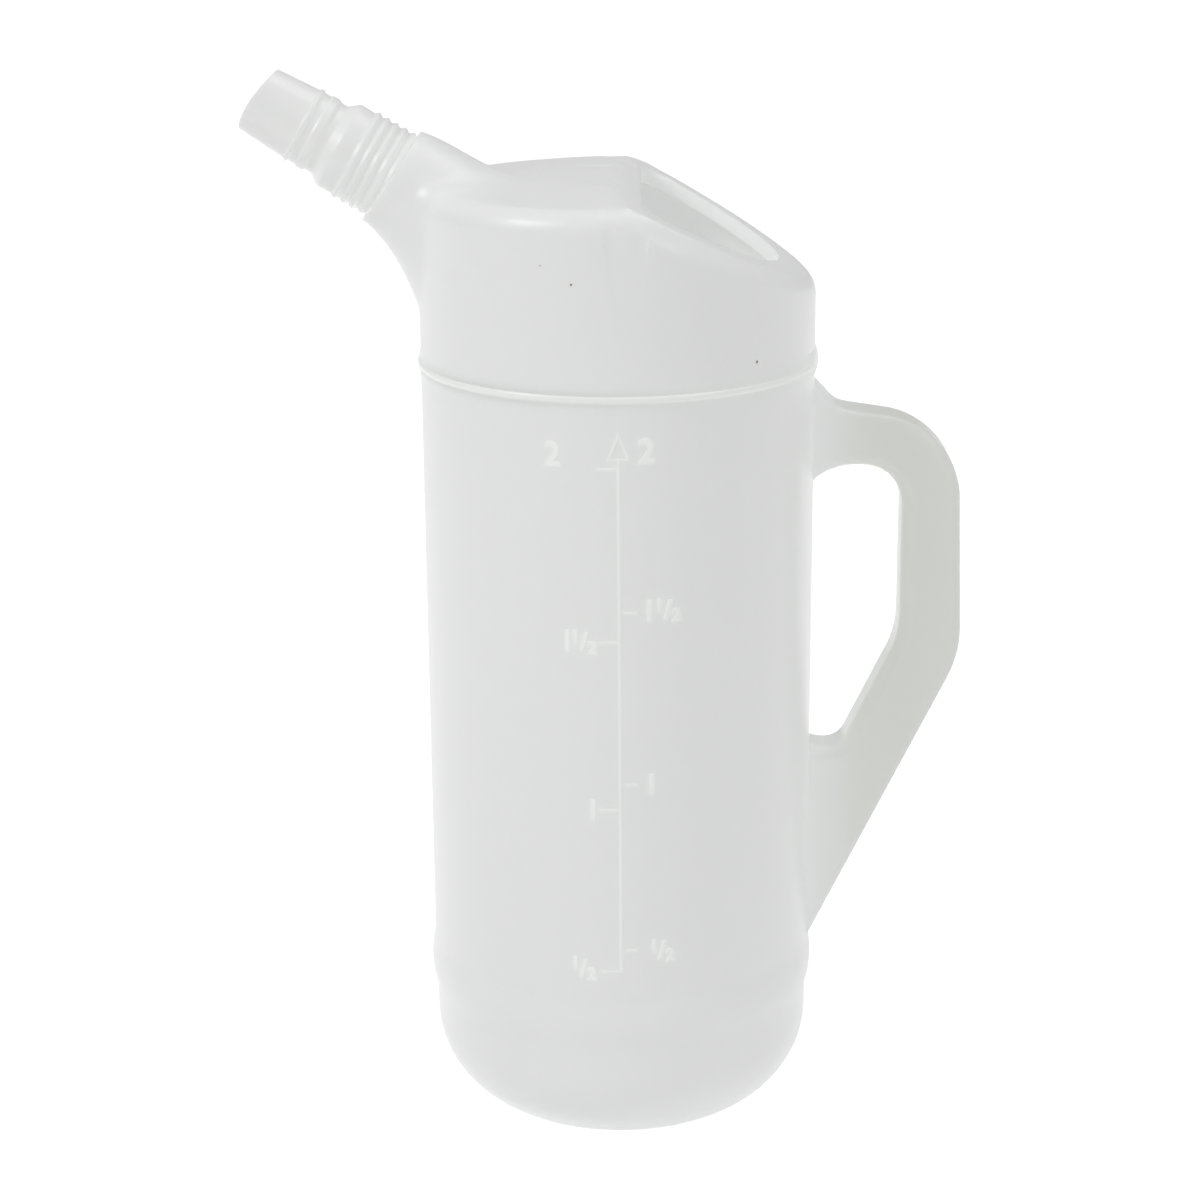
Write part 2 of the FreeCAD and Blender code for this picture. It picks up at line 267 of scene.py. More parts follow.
# %% The roof's planes, as in the solid and as on the real jug
ROOF_Z, ROOF_FALL, RIDGE_X, RIDGE_DROP, SLANT = 282.3, 9.0, 6.5, 2.2, 31.0      # as in the solid
NEW_ROOF_Z, NEW_FALL, NEW_RIDGE_X, NEW_SLANT = 280.0, 3.0, 1.8, 27.65           # as on the real jug
RIDGE_SOFT = 2.2                # how far the planes' heights are blended at the ridge
CREASE_REAR_Y = 24.0            # half width of the roof's flat at the ridge
CREASE_GROWTH = 18.0            # by which it is narrower at FRONT_X
FRONT_X = -34.0                 # in front of this the roof keeps its place
FALL_SHARE = 0.91               # part of the side's fall that runs straight across
BARREL = BARREL_R/MM
JUG_WALL = 1.5
BEAD_Z, BEAD_HALF = 228.0, 4.0  # middle and half height of the upper bead


def tan(degrees):
    return math.tan(math.radians(degrees))


def roof_height(x, y, top, fall, ridge_x, drop, slant, soft=0.0):
    """Height of the roof's planes over a place on the plan, in mm; soft rounds the ridge."""
    crease = CREASE_REAR_Y
    if x < ridge_x:
        crease -= CREASE_GROWTH*(ridge_x - x)/(ridge_x - FRONT_X)
    side = top - max(0.0, abs(y) - crease)*tan(fall)*FALL_SHARE
    slanted = top - drop - (x - ridge_x)*tan(slant)
    blend = max(0.0, soft - abs(side - slanted))
    return min(side, slanted) - (blend**2/(4*soft) if soft else 0.0)


def old_roof(x, y):
    return roof_height(x, y, ROOF_Z, ROOF_FALL, RIDGE_X, RIDGE_DROP, SLANT)


def new_roof(x, y):
    return roof_height(x, y, NEW_ROOF_Z, NEW_FALL, NEW_RIDGE_X, 0.0, NEW_SLANT, RIDGE_SOFT)


print("roof's flat from", ROOF_Z, "to", NEW_ROOF_Z, "mm, slant from", SLANT, "to", NEW_SLANT, "degrees")


# %% A merged copy of the jug, with short edges where it will be reshaped
REACH_DOWN = 7.0                # how far under the slanted plane the points may move
LONGEST_EDGE = 2.0


def near_mouth(co):
    """Within the slanted plane or beside the ridge, and a few millimetres under it."""
    inside = co.x**2 + co.y**2 < (BARREL + 0.1)**2
    return co.x > RIDGE_X - 9.0 and inside and old_roof(co.x, co.y) - co.z < REACH_DOWN


def only_triangles(bm):
    bmesh.ops.triangulate(bm, faces=[f for f in bm.faces if len(f.verts) > 3])


def shorten(bm, chosen, longest, rounds=7):
    """Halves the edges that lie in a chosen place until none is longer than longest."""
    for _ in range(rounds):
        edges = [e for e in bm.edges
                 if e.calc_length() > longest and all(chosen(v.co) for v in e.verts)]
        if not edges:
            break
        bmesh.ops.subdivide_edges(bm, edges=edges, cuts=1)
        only_triangles(bm)


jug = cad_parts["jug"]
jug_bm = bmesh.new()
jug_bm.from_mesh(jug.data)
jug_bm.transform(Matrix.Scale(1/MM, 4) @ Matrix.Translation((-AXIS_X, 0, 0)) @ jug.matrix_world)
bmesh.ops.remove_doubles(jug_bm, verts=jug_bm.verts, dist=0.002)
bmesh.ops.dissolve_degenerate(jug_bm, dist=0.01, edges=jug_bm.edges)
only_triangles(jug_bm)
shorten(jug_bm, near_mouth, LONGEST_EDGE)
print("jug:", len(jug_bm.faces), "triangles once cut up near the opening")


# %% The outlines of the opening, old and new, seen from above
MOUTH_X = 28.0                  # the place on the x axis from which both outlines are measured
# The solid's opening: gap to the ridge and length of the round end, both down the slant, and the
# rims from the opening to the barrel's wall at its end, where the round end starts and in front.
OLD_GAP, OLD_ROUND, OLD_RIM_END, OLD_RIM_MID, OLD_RIM_FRONT = 2.5, 27.0, 4.8, 17.4, 21.8
# The real opening: gap to the ridge, rim to the barrel's wall and radius of the front corners.
MOUTH_GAP, MOUTH_RIM, MOUTH_CORNER = 3.8, 9.5, 8.0
ARC_STEPS, CORNER_STEPS, FRAME_STEPS = 24, 12, 40


def old_outline():
    """Half of the solid's opening: a straight front, a slanting side and a round end."""
    level = math.cos(math.radians(SLANT))
    to_round = (BARREL - RIDGE_X)/level - OLD_RIM_END - OLD_ROUND
    front_x, mid_x = RIDGE_X + OLD_GAP*level, RIDGE_X + to_round*level
    end_x = RIDGE_X + (to_round + OLD_ROUND)*level
    front = math.sqrt(BARREL**2 - front_x**2) - OLD_RIM_FRONT
    mid = math.sqrt(BARREL**2 - mid_x**2) - OLD_RIM_MID
    r = (OLD_ROUND**2 + mid**2)/(2*OLD_ROUND)
    reach = math.asin(mid/r) if OLD_ROUND < r else math.pi - math.asin(mid/r)
    half = [(front_x, 0.0), (front_x, front), (mid_x, mid)]
    for i in range(1, ARC_STEPS + 1):
        a = reach*(1 - i/ARC_STEPS)
        half.append((end_x - r*(1 - math.cos(a))*level, r*math.sin(a)))
    return half


def new_outline():
    """Half of the real opening: a straight front, a round corner and a circle about the axis."""
    r, c, x0 = BARREL - MOUTH_RIM, MOUTH_CORNER, NEW_RIDGE_X + MOUTH_GAP
    cx = x0 + c
    cy = math.sqrt((r - c)**2 - cx**2)
    half = [(x0, 0.0)]
    end = math.atan2(cy, cx)
    for i in range(CORNER_STEPS + 1):
        a = math.pi + (end - math.pi)*i/CORNER_STEPS
        half.append((cx + c*math.cos(a), cy + c*math.sin(a)))
    for i in range(1, ARC_STEPS + 1):
        a = end*(1 - i/ARC_STEPS)
        half.append((r*math.cos(a), r*math.sin(a)))
    return half


def reach_to(outline, a):
    """Distance from the middle of the opening to a half outline in the direction a, 0 to pi."""
    dx, dy = math.cos(a), math.sin(a)
    best = None
    for (x1, y1), (x2, y2) in zip(outline, outline[1:]):
        ex, ey = x2 - x1, y2 - y1
        det = dx*ey - dy*ex
        if abs(det) < 1e-9:
            continue
        t = ((x1 - MOUTH_X)*ey - y1*ex)/det
        u = ((x1 - MOUTH_X)*dy - y1*dx)/det
        if t > 0 and -0.001 <= u <= 1.001:
            best = t if best is None else min(best, t)
    return best


def frame_outline(limit_r, front_x):
    """Half of the line outside which the points keep their place: the ridge and a circle."""
    end = math.acos(front_x/limit_r)
    angles = [end*(1 - i/FRAME_STEPS) for i in range(FRAME_STEPS + 1)]
    return [(front_x, 0.0)] + [(limit_r*math.cos(a), limit_r*math.sin(a)) for a in angles]


FRAME_R = BARREL - 2.0
OLD_MOUTH, NEW_MOUTH = old_outline(), new_outline()
MOUTH_FRAME = frame_outline(FRAME_R, NEW_RIDGE_X)
print("opening: front from x =", round(OLD_MOUTH[0][0], 1), "to", round(NEW_MOUTH[0][0], 1),
      "mm, end from x =", round(OLD_MOUTH[-1][0], 1), "to", round(NEW_MOUTH[-1][0], 1), "mm")


# %% Roof and ridge to their new planes
def eased(value, low, high):
    """Rises smoothly from 0 at low to 1 at high."""
    t = min(1.0, max(0.0, (value - low)/(high - low)))
    return t*t*(3 - 2*t)


def shifted_x(x):
    """Moves the ridge to its new place and leaves the wall where it is."""
    if x <= FRONT_X or x >= BARREL:
        return x
    if x < RIDGE_X:
        return FRONT_X + (x - FRONT_X)*(NEW_RIDGE_X - FRONT_X)/(RIDGE_X - FRONT_X)
    return NEW_RIDGE_X + (x - RIDGE_X)*(BARREL - NEW_RIDGE_X)/(BARREL - RIDGE_X)


SHIFTED_OLD = []
for x, y in OLD_MOUTH:
    moved = shifted_x(x)
    SHIFTED_OLD.append((moved, y*math.sqrt((BARREL**2 - moved**2)/(BARREL**2 - x**2))))


ROOF_FADE_Z = BEAD_Z + 5        # the change of the roof starts from nothing here
SHOULDER = 9.0                  # and is whole this far under the roof
NECK_FADE = (-56.0, -32.0)      # it fades out between these places towards the neck


def to_new_roof(co):
    """Moves one point of the roof, the ridge or the wall under them."""
    if co.z < ROOF_FADE_Z or co.x > BARREL + 0.5:
        return
    under = old_roof(co.x, co.y)
    share = eased(co.z, ROOF_FADE_Z, under - SHOULDER)*eased(co.x, *NECK_FADE)
    x = co.x + (shifted_x(co.x) - co.x)*share
    if abs(x) < BARREL - 0.1 and abs(co.x) < BARREL - 0.1:
        y = co.y*math.sqrt((BARREL**2 - x**2)/(BARREL**2 - co.x**2))
    else:
        y = co.y
    co.z += share*(new_roof(x, y) - under)
    co.x, co.y = x, y


print("ridge from x =", RIDGE_X, "to", NEW_RIDGE_X, "mm")


# %% Opening to its new outline
RIM_FADE = (4.2, REACH_DOWN)    # depths under the plane over which the move fades out
WALL_FADE = (46.5, 48.0)        # but only outside these radii, beyond the turned-down rim


def to_new_mouth(co, depth):
    """Moves one point of the slanted plane; those on the ridge and near the wall stay."""
    if depth > REACH_DOWN or co.x < NEW_RIDGE_X or co.x**2 + co.y**2 > FRAME_R**2:
        return
    share = 1 - eased(depth, *RIM_FADE)*eased(math.hypot(co.x, co.y), *WALL_FADE)
    a = math.atan2(abs(co.y), co.x - MOUTH_X)
    r = math.hypot(co.x - MOUTH_X, co.y)
    old, new, edge = (reach_to(o, a) for o in (SHIFTED_OLD, NEW_MOUTH, MOUTH_FRAME))
    if None in (old, new, edge) or r < 0.01 or r >= edge:
        return
    moved = r*new/old if r < old else new + (r - old)*(edge - new)/(edge - old)
    moved = r + (moved - r)*share
    x = MOUTH_X + (co.x - MOUTH_X)*moved/r
    co.z -= (x - co.x)*tan(NEW_SLANT)
    co.x, co.y = x, co.y*moved/r


print("points move up to", REACH_DOWN, "mm under the slanted plane")


# %% Knuckle of the handle and upper bead
KNUCKLE = (76.0, 182.9, 24.0)       # centre and radius of the solid's outer rounding, in x and z
NEW_KNUCKLE = (72.0, 178.1, 28.0)
KNUCKLE_DROP = 1.2                  # how much lower the top of the handle lies
KNUCKLE_FOOT = 165.0                # nothing below this height moves
GAP_SIDE, GAP_RISE = 6.0, 8.3       # to the finger gap beside that centre, and so much more above
TOP_FADE = (197.0, 205.0)           # heights over which the top's drop sets in, over the finger gap
ROOT_FADE = (BARREL + 2, BARREL + 7)    # and places, out from the barrel
BEAD_LEFT = 0.45                    # what is left of the bead's swelling


def to_new_knuckle(co):
    """Outer corner of the handle to its larger rounding; the finger gap stays."""
    if co.x < BARREL + 2 or co.z < KNUCKLE_FOOT:
        return
    dx, dz = co.x - KNUCKLE[0], co.z - KNUCKLE[1]
    ox, oz = KNUCKLE[0] - NEW_KNUCKLE[0], KNUCKLE[1] - NEW_KNUCKLE[1]
    if dx > 0 and dz > 0:
        r = math.hypot(dx, dz)
        c, s = dx/r, dz/r
        dot = c*ox + s*oz
        new = -dot + math.sqrt(dot**2 - ox**2 - oz**2 + NEW_KNUCKLE[2]**2)
        inner = GAP_SIDE + GAP_RISE*s
        share = min(1.0, max(0.0, (r - inner)/(KNUCKLE[2] - inner)))
        r += (new - KNUCKLE[2])*share
        co.x, co.z = KNUCKLE[0] + r*c, KNUCKLE[1] + r*s
    elif dz > 0:
        lower = KNUCKLE_DROP + max(0.0, co.x - NEW_KNUCKLE[0])**2/(2*NEW_KNUCKLE[2])
        co.z -= lower*eased(co.z, *TOP_FADE)*eased(co.x, *ROOT_FADE)
    elif dx > 0:
        share = min(1.0, max(0.0, (dx - GAP_SIDE)/(KNUCKLE[2] - GAP_SIDE)))
        co.x -= max(0.0, co.z - NEW_KNUCKLE[1])**2/(2*NEW_KNUCKLE[2])*share


def to_low_bead(co):
    """The upper bead's swelling drawn in to about half its height; the handle's root stays."""
    away = abs(co.z - BEAD_Z)
    r = math.hypot(co.x, co.y)
    on_wall = BARREL - 2*JUG_WALL <= r <= BARREL + JUG_WALL
    if away > BEAD_HALF + 0.5 or not on_wall or co.x > BARREL - 2:
        return
    base = BARREL if r > BARREL - JUG_WALL/2 else BARREL - JUG_WALL
    swelling = BEAD_LEFT*max(0.0, 1 - (away/BEAD_HALF)**2)
    co.x *= (base + swelling)/r
    co.y *= (base + swelling)/r


print("knuckle's radius from", KNUCKLE[2], "to", NEW_KNUCKLE[2], "mm")

# %% [markdown]
# Every point now gets its new place. Where the roof meets the slanted plane, and round the
# opening's front corners, the moved points are then relaxed towards their neighbours, because the
# two planes pull them apart there. The points on a sharp edge, such as the opening's rim, are left
# out, so that the rim stays crisp.

# %% Move the points and relax the ridge
SHARP = 0.7                     # radians between two faces, from which an edge counts as sharp
MOUTH_FOOT, RIDGE_FOOT = 240.0, 264.0   # heights above which the opening and the ridge lie
RELAX_ROUNDS = 16


jug_bm.normal_update()
sharp_edges = [e for e in jug_bm.edges if len(e.link_faces) == 2 and e.calc_face_angle() > SHARP]
on_rim = {v for e in sharp_edges for v in e.verts}
for vertex in jug_bm.verts:
    co = vertex.co
    to_new_roof(co)
    if co.z > MOUTH_FOOT:
        to_new_mouth(co, new_roof(co.x, co.y) - co.z)
    to_new_knuckle(co)
    to_low_bead(co)


def beside_ridge(co):
    """On the ridge, at its ends or round the opening's front corners."""
    r = math.hypot(co.x, co.y)
    x = co.x - NEW_RIDGE_X
    along = abs(x) < 3.4
    at_an_end = abs(x) < 6 and r > 47.6
    round_a_corner = -4 < x < 18 and 36 < r < 51
    return co.z > RIDGE_FOOT and (along or at_an_end or round_a_corner)


ridge = [v for v in jug_bm.verts if beside_ridge(v.co) and v not in on_rim]
for _ in range(RELAX_ROUNDS):
    bmesh.ops.smooth_vert(jug_bm, verts=ridge, factor=0.5,
                          use_axis_x=True, use_axis_y=True, use_axis_z=True)
print("ridge relaxed:", len(ridge), "points")
jug_bm.transform(Matrix.Translation((AXIS_X, 0, 0)) @ Matrix.Scale(MM, 4))
jug_mesh = bpy.data.meshes.new("jug_moulding")
jug_bm.to_mesh(jug_mesh)
jug_bm.free()
jug_body = bpy.data.objects.new("jug_moulding", jug_mesh)
bpy.context.scene.collection.objects.link(jug_body)
print("jug reshaped:", len(jug_mesh.polygons), "triangles")


# %% Normals and finish of the jug
def weighted(piece, angle):
    """Smooth shading in which the large flat faces stay flat and edges sharper than angle are kept."""
    piece.data.shade_smooth()
    piece.data.set_sharp_from_angle(angle=math.radians(angle))
    modifier = piece.modifiers.new("normals", "WEIGHTED_NORMAL")
    modifier.mode = "FACE_AREA"
    modifier.keep_sharp = True
    evaluated = piece.evaluated_get(bpy.context.evaluated_depsgraph_get())
    mesh = bpy.data.meshes.new_from_object(evaluated)
    piece.modifiers.remove(modifier)
    piece.data = mesh


if "custom_normal" in jug_mesh.attributes:
    jug_mesh.attributes.remove(jug_mesh.attributes["custom_normal"])
weighted(jug_body, 22)
jug_body.data.materials.clear()
jug_body.data.materials.append(jug_finish)
print("jug finish:", jug_body.data.materials[0].name)

# %% [markdown]
# ## The spout
# The real spout is a thin tube with seven round folds that let it bend, a plain drum, a narrow
# waist, a small collar and ring, and a nozzle that tapers to a slightly bowed tip. The solid has
# straight-sided folds. Here a softened outline is turned into a closed tube, and Geometry Nodes
# press the folds into it as a wave along its length. The tree works on the tube while it stands
# upright on its own axis, and the finished mesh is then laid where the solid is.

# %% Helpers to turn an outline
def soften(points, reach, steps=4):
    """Polyline with each inner corner replaced by a short curve that starts reach from it."""
    out = [Vector(points[0])]
    for before, here, after in zip(points, points[1:], points[2:]):
        before, here, after = Vector(before), Vector(here), Vector(after)
        back, ahead = before - here, after - here
        r = min(reach, back.length*0.45, ahead.length*0.45)
        a, b = here + back.normalized()*r, here + ahead.normalized()*r
        for i in range(steps + 1):
            t = i/steps
            out.append(a*(1 - t)**2 + here*2*t*(1 - t) + b*t**2)
    out.append(Vector(points[-1]))
    return out


def divide(points, longest):
    """The same polyline with no step longer than longest."""
    out = [points[0]]
    for a, b in zip(points, points[1:]):
        n = max(1, math.ceil((b - a).length/longest))
        out += [a.lerp(b, i/n) for i in range(1, n + 1)]
    return out


def turned(name, outline, around):
    """Closed solid of revolution about Z; outline is a loop of (radius, height)."""
    bm = bmesh.new()
    rings = []
    for k in range(around):
        a = math.tau*k/around
        rings.append([bm.verts.new((p.x*math.cos(a), p.x*math.sin(a), p.y)) for p in outline])
    for k in range(around):
        here, beyond = rings[k], rings[(k + 1) % around]
        for i in range(len(outline)):
            j = (i + 1) % len(outline)
            bm.faces.new((here[i], beyond[i], beyond[j], here[j]))
    bmesh.ops.recalc_face_normals(bm, faces=bm.faces)
    mesh = bpy.data.meshes.new(name)
    bm.to_mesh(mesh)
    bm.free()
    piece = bpy.data.objects.new(name, mesh)
    bpy.context.scene.collection.objects.link(piece)
    return piece


# %% Outline of the spout, in mm along its axis from the neck's end
FOLD_R, FOLD_DEPTH, FOLD_PITCH = 13.6, 0.8, 2.8
FOLDS_FROM, FOLDS_TO = -9.8, 12.6
DRUM_R, WAIST_R, COLLAR_R, STEM_R, RING_R = 12.9, 10.6, 11.2, 10.75, 11.3
SPOUT_WALL = 1.5
TIP_END, RING_END = 42.7, 28.8
TIP_R, TIP_SKEW, TIP_BOW = 9.85, math.radians(4.9), 1.3
CORNER_REACH, LONGEST_STEP = 0.6, 0.25
root_r = FOLD_R - FOLD_DEPTH
middle_of_rim = (TIP_R - SPOUT_WALL/2, TIP_END)
outer = [(root_r, FOLDS_FROM), (root_r, FOLDS_TO),
         (DRUM_R, 14.0), (DRUM_R, 17.0), (WAIST_R, 19.8), (WAIST_R, 21.8),
         (COLLAR_R, 22.6), (COLLAR_R, 24.6), (STEM_R, 25.2), (STEM_R, 27.2),
         (RING_R, 27.6), (RING_R, 28.4), (STEM_R, RING_END), (TIP_R, TIP_END), middle_of_rim]
inner = [middle_of_rim, (TIP_R - SPOUT_WALL, TIP_END), (STEM_R - SPOUT_WALL, RING_END),
         (WAIST_R - SPOUT_WALL, 21.8), (WAIST_R - SPOUT_WALL, 19.8), (DRUM_R - SPOUT_WALL, 17.0),
         (root_r - SPOUT_WALL, FOLDS_TO), (root_r - SPOUT_WALL, FOLDS_FROM)]
outline = soften(outer, CORNER_REACH) + soften(inner, CORNER_REACH)[1:]
outline = divide(outline + [outline[0]], LONGEST_STEP)[:-1]
print("spout outline:", len(outline), "points, from", FOLDS_FROM, "to", TIP_END, "mm")

# %% [markdown]
# ### The bowed tip
# The tip's sides stand a little in front of its top and bottom, and the whole cut leans by a few
# degrees. Instead of cutting, the nozzle is stretched, more or less at each height, until its end
# lies on that curved surface. The wall and the rounded rim keep their thickness that way.

# %% Turn the tube and bow its tip
def bowed_end(v):
    """Where the tip ends along the axis, at a height v above it."""
    bow_r = (TIP_R**2 + TIP_BOW**2)/(2*TIP_BOW)
    along = TIP_END - (bow_r - TIP_BOW)*math.cos(TIP_SKEW)
    up = -(bow_r - TIP_BOW)*math.sin(TIP_SKEW)
    return along + math.sqrt(bow_r**2 - (v - up)**2)


spout = turned("spout_tube", outline, 128)
for vertex in spout.data.vertices:
    z = vertex.co.z
    if z > RING_END:
        stretch = (bowed_end(vertex.co.x) - RING_END)/(TIP_END - RING_END)
        vertex.co.z = RING_END + (z - RING_END)*stretch
print("tube:", len(spout.data.polygons), "faces")


# %% Geometry Nodes that press the folds into the tube
def make_fold_tree():
    """Moves a tube's wall in and out as a wave along Z, between two heights."""
    tree = bpy.data.node_groups.new("press_folds", "GeometryNodeTree")
    tree.interface.new_socket("Geometry", in_out="INPUT", socket_type="NodeSocketGeometry")
    for label, default in (("Pitch", FOLD_PITCH), ("Depth", FOLD_DEPTH),
                           ("From", FOLDS_FROM), ("To", FOLDS_TO)):
        socket = tree.interface.new_socket(label, in_out="INPUT", socket_type="NodeSocketFloat")
        socket.default_value = default
    tree.interface.new_socket("Geometry", in_out="OUTPUT", socket_type="NodeSocketGeometry")
    given, result = tree.nodes.new("NodeGroupInput"), tree.nodes.new("NodeGroupOutput")
    links = tree.links
    place = tree.nodes.new("GeometryNodeInputPosition")
    split = tree.nodes.new("ShaderNodeSeparateXYZ")
    links.new(place.outputs[0], split.inputs[0])
    z = split.outputs["Z"]
    turns = math_node(tree, "DIVIDE", z, given.outputs["Pitch"])
    wave = math_node(tree, "COSINE", math_node(tree, "MULTIPLY", turns, math.tau))
    crest = math_node(tree, "MULTIPLY", math_node(tree, "ADD", wave, 1.0), 0.5)
    within = math_node(tree, "MULTIPLY", math_node(tree, "GREATER_THAN", z, given.outputs["From"]),
                       math_node(tree, "LESS_THAN", z, given.outputs["To"]))
    pressed = math_node(tree, "MULTIPLY", crest, within)
    push = math_node(tree, "MULTIPLY", pressed, given.outputs["Depth"])
    flat = tree.nodes.new("ShaderNodeCombineXYZ")
    links.new(split.outputs["X"], flat.inputs["X"])
    links.new(split.outputs["Y"], flat.inputs["Y"])
    outward = tree.nodes.new("ShaderNodeVectorMath")
    outward.operation = "NORMALIZE"
    links.new(flat.outputs[0], outward.inputs[0])
    move = tree.nodes.new("ShaderNodeVectorMath")
    move.operation = "SCALE"
    links.new(outward.outputs[0], move.inputs[0])
    links.new(push, move.inputs["Scale"])
    shift = tree.nodes.new("GeometryNodeSetPosition")
    links.new(given.outputs["Geometry"], shift.inputs["Geometry"])
    links.new(move.outputs[0], shift.inputs["Offset"])
    real = tree.nodes.new("GeometryNodeRealizeInstances")
    links.new(shift.outputs[0], real.inputs[0])
    finish = tree.nodes.new("GeometryNodeSetMaterial")
    finish.inputs["Material"].default_value = spout_finish
    links.new(real.outputs[0], finish.inputs["Geometry"])
    links.new(finish.outputs[0], result.inputs["Geometry"])
    return tree


fold_tree = make_fold_tree()
print("tree", fold_tree.name, "with", len(fold_tree.nodes), "nodes")


# %% A helper that runs a tree on a piece and keeps a plain mesh
def socket_of(tree, label):
    """Identifier of a tree's input, by its label."""
    for item in tree.interface.items_tree:
        if item.item_type == "SOCKET" and item.in_out == "INPUT" and item.name == label:
            return item.identifier


def run_tree(piece, tree, material, **values):
    """Runs a Geometry Nodes tree on a piece and leaves its result as the piece's plain mesh."""
    modifier = piece.modifiers.new(tree.name, "NODES")
    modifier.node_group = tree
    for label, value in values.items():
        modifier[socket_of(tree, label.replace("_", " "))] = value
    evaluated = piece.evaluated_get(bpy.context.evaluated_depsgraph_get())
    mesh = bpy.data.meshes.new_from_object(evaluated)
    piece.modifiers.remove(modifier)
    piece.data = mesh
    mesh.materials.clear()
    mesh.materials.append(material)
    return piece


def smooth(piece, angle=35):
    """Smooth shading, with edges sharper than angle kept."""
    piece.data.shade_smooth()
    piece.data.set_sharp_from_angle(angle=math.radians(angle))


# %% Press the folds and lay the spout in its place
run_tree(spout, fold_tree, spout_finish,
         Pitch=FOLD_PITCH, Depth=FOLD_DEPTH, From=FOLDS_FROM, To=FOLDS_TO)
along = Vector((-math.cos(SPOUT_TILT), 0, math.sin(SPOUT_TILT)))
up = Vector((math.sin(SPOUT_TILT), 0, math.cos(SPOUT_TILT)))
side = along.cross(up)
lay = Matrix((up*MM, side*MM, along*MM)).transposed().to_4x4()
lay.translation = NECK_END
spout.data.transform(lay)
smooth(spout)
print("spout:", len(spout.data.polygons), "faces, radius", FOLD_R, "mm at the folds")

# %% [markdown]
# ## The raised scale
# The mould has a scale cut into it, so the jug carries it as thin raised lines: one upright line
# with a hollow arrowhead on top, short level ticks for quarts on its left and for litres on its
# right, and plain numerals beside them. Every mark is made flat, in millimetres to the right of
# the upright line and up from the table, and is then wrapped round the barrel. The ticks repeat,
# so Geometry Nodes make them from the spacing of the marks.

# %% Heights and spacings of the scale, in mm
MARK_PROUD, MARK_SUNK = 0.2, 0.25       # how far a mark stands out of the wall and reaches into it
MARK_HEIGHT, MARK_MIDDLE = MARK_PROUD + MARK_SUNK, (MARK_PROUD - MARK_SUNK)/2
LINE_W, LINE_FOOT, LINE_TOP = 0.9, 61.2, 211.5
TICK_W = 0.8
QUART_FIRST, QUART_STEP = 61.1, 49.25
LITRE_FIRST, LITRE_STEP = 67.7, 50.2
print("a quart mark every", QUART_STEP, "mm and a litre mark every", LITRE_STEP, "mm")


# %% Geometry Nodes that lay out one column of ticks
def make_tick_tree():
    """A column of flat bars, each a mesh box, one above the other at an even spacing."""
    tree = bpy.data.node_groups.new("tick_column", "GeometryNodeTree")
    tree.interface.new_socket("Geometry", in_out="INPUT", socket_type="NodeSocketGeometry")
    for label, default in (("Step", 49.0), ("Length", 5.0), ("Width", 0.8), ("Thickness", 0.6),
                           ("First", 61.0), ("Middle", -4.0)):
        socket = tree.interface.new_socket(label, in_out="INPUT", socket_type="NodeSocketFloat")
        socket.default_value = default
    count = tree.interface.new_socket("Count", in_out="INPUT", socket_type="NodeSocketInt")
    count.default_value = 4
    tree.interface.new_socket("Geometry", in_out="OUTPUT", socket_type="NodeSocketGeometry")
    given, result = tree.nodes.new("NodeGroupInput"), tree.nodes.new("NodeGroupOutput")
    links = tree.links
    start = tree.nodes.new("ShaderNodeCombineXYZ")
    links.new(given.outputs["Middle"], start.inputs["X"])
    links.new(given.outputs["First"], start.inputs["Y"])
    step = tree.nodes.new("ShaderNodeCombineXYZ")
    links.new(given.outputs["Step"], step.inputs["Y"])
    places = tree.nodes.new("GeometryNodeMeshLine")
    links.new(given.outputs["Count"], places.inputs["Count"])
    links.new(start.outputs[0], places.inputs["Start Location"])
    links.new(step.outputs[0], places.inputs["Offset"])
    size = tree.nodes.new("ShaderNodeCombineXYZ")
    links.new(given.outputs["Length"], size.inputs["X"])
    links.new(given.outputs["Width"], size.inputs["Y"])
    links.new(given.outputs["Thickness"], size.inputs["Z"])
    bar = tree.nodes.new("GeometryNodeMeshCube")
    links.new(size.outputs[0], bar.inputs["Size"])
    bar.inputs["Vertices X"].default_value = 8
    copies = tree.nodes.new("GeometryNodeInstanceOnPoints")
    links.new(places.outputs[0], copies.inputs["Points"])
    links.new(bar.outputs[0], copies.inputs["Instance"])
    real = tree.nodes.new("GeometryNodeRealizeInstances")
    links.new(copies.outputs[0], real.inputs[0])
    finish = tree.nodes.new("GeometryNodeSetMaterial")
    finish.inputs["Material"].default_value = painted_light_mark_finish
    links.new(real.outputs[0], finish.inputs["Geometry"])
    links.new(finish.outputs[0], result.inputs["Geometry"])
    return tree


tick_tree = make_tick_tree()
print("tree", tick_tree.name, "with", len(tick_tree.nodes), "nodes")


# %% Wrap a flat piece round the barrel
def wrapped(piece):
    """Takes x to the right along the wall, y up and z outwards, in mm, to the barrel's wall in m."""
    for vertex in piece.data.vertices:
        x, y, z = vertex.co
        a = x*MM/BARREL_R
        r = BARREL_R + z*MM
        vertex.co = (AXIS_X + r*math.sin(a), -r*math.cos(a), y*MM)
    return piece


def flat_piece(name, bm):
    """Object made of a bmesh, which is freed."""
    mesh = bpy.data.meshes.new(name)
    bm.to_mesh(mesh)
    bm.free()
    piece = bpy.data.objects.new(name, mesh)
    bpy.context.scene.collection.objects.link(piece)
    return piece


def ticks(name, count, first, step, middle, length):
    """One column of ticks on the wall; middle is their place to the right of the upright line."""
    piece = flat_piece(name, bmesh.new())
    run_tree(piece, tick_tree, painted_light_mark_finish, Count=count, First=first, Step=step,
             Middle=middle, Length=length, Width=TICK_W, Thickness=MARK_HEIGHT)
    for vertex in piece.data.vertices:
        vertex.co.z += MARK_MIDDLE
    return wrapped(piece)


